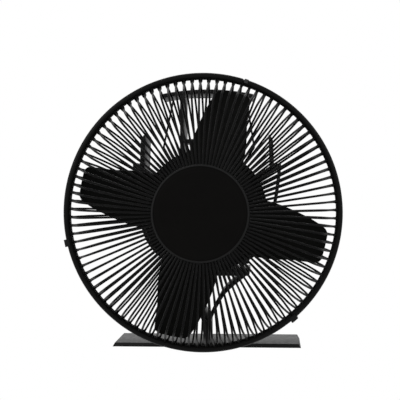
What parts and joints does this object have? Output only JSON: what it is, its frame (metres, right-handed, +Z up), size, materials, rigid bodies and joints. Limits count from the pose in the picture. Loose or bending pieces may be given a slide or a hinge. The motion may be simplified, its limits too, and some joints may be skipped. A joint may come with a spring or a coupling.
{
  "type": "stove fan",
  "caption": "Heat-driven stove fan: hot body, thermoelectric module, finned cold body, motor and petal-bladed rotor in a round wire cage, with a folding wire handle.",
  "frame": {"origin": "centre of the base's underside, where the fan stands on the stove", "axes": "+Z up, -Y the way the cage and the air face, +X to the right as seen from the front"},
  "size_m": [0.19, 0.1379, 0.1937],
  "materials": {
    "black_extrusion": "matte",
    "black_wire": "satin",
    "black_disc": "matte",
    "black_clip": "satin",
    "black_blades": "matte",
    "handle_wire": "satin",
    "black_screw": "satin",
    "bare_aluminium": "satin",
    "steel": "satin",
    "armature_iron": "matte",
    "magnet": "matte",
    "bronze": "matte",
    "contact_brass": "satin",
    "copper": "satin",
    "black_plastic": "matte",
    "insulator": "matte",
    "module_ceramic": "matte",
    "semiconductor": "satin",
    "module_seal": "matte",
    "heat_pad": "matte",
    "red_silicone": "satin",
    "black_silicone": "satin"
  },
  "bodies": {
    "frame": {"hot_body": "black_extrusion", "hot_pad": "heat_pad", "teg_hot_plate": "module_ceramic", "teg_elements": "semiconductor", "teg_seal": "module_seal", "teg_cold_plate": "module_ceramic", "cold_pad": "heat_pad", "clamp_screw_left": "black_screw", "clamp_screw_right": "black_screw", "spring_washer_left": "steel", "spring_washer_right": "steel", "insulating_washer_left": "insulator", "insulating_washer_right": "insulator", "cold_body": "black_extrusion", "motor_can": "steel", "motor_end_cap": "black_plastic", "motor_magnet_left": "magnet", "motor_magnet_right": "magnet", "motor_front_bush": "bronze", "motor_rear_bush": "bronze", "motor_brush_left": "contact_brass", "motor_brush_right": "contact_brass", "motor_terminal_left": "contact_brass", "motor_terminal_right": "contact_brass", "motor_set_screw": "steel", "red_lead": "red_silicone", "black_lead": "black_silicone", "front_guard_wires": "black_wire", "rear_guard_wires": "black_wire", "front_guard_disc": "black_disc", "rear_guard_plate": "black_disc", "guard_clip_left": "black_clip", "guard_clip_right": "black_clip", "guard_latch": "black_clip", "guard_standoff_upper_left": "bare_aluminium", "guard_standoff_upper_right": "bare_aluminium", "guard_standoff_lower_left": "bare_aluminium", "guard_standoff_lower_right": "bare_aluminium", "guard_screw_upper_left": "black_screw", "guard_screw_upper_right": "black_screw", "guard_screw_lower_left": "black_screw", "guard_screw_lower_right": "black_screw"},
    "rotor": {"motor_shaft": "steel", "armature_core": "armature_iron", "armature_coil_1": "copper", "armature_coil_2": "copper", "armature_coil_3": "copper", "commutator": "contact_brass", "blade_rotor": "black_blades", "blade_hub": "bare_aluminium", "hub_rivet_1": "bare_aluminium", "hub_rivet_2": "bare_aluminium", "hub_rivet_3": "bare_aluminium", "hub_rivet_4": "bare_aluminium", "hub_grub_screw": "black_screw"},
    "handle": {"carry_handle": "handle_wire"}
  },
  "joints": [
    {"name": "rotor_spin", "type": "hinge", "parent": "frame", "child": "rotor", "pos_m": [0, 0, 0.0975], "axis": [0, -1, 0], "continuous": true},
    {"name": "handle_fold", "type": "hinge", "parent": "frame", "child": "handle", "pos_m": [0, -0.0048, 0.1257], "axis": [-1, 0, 0], "range_deg": [0, 65]}
  ]
}
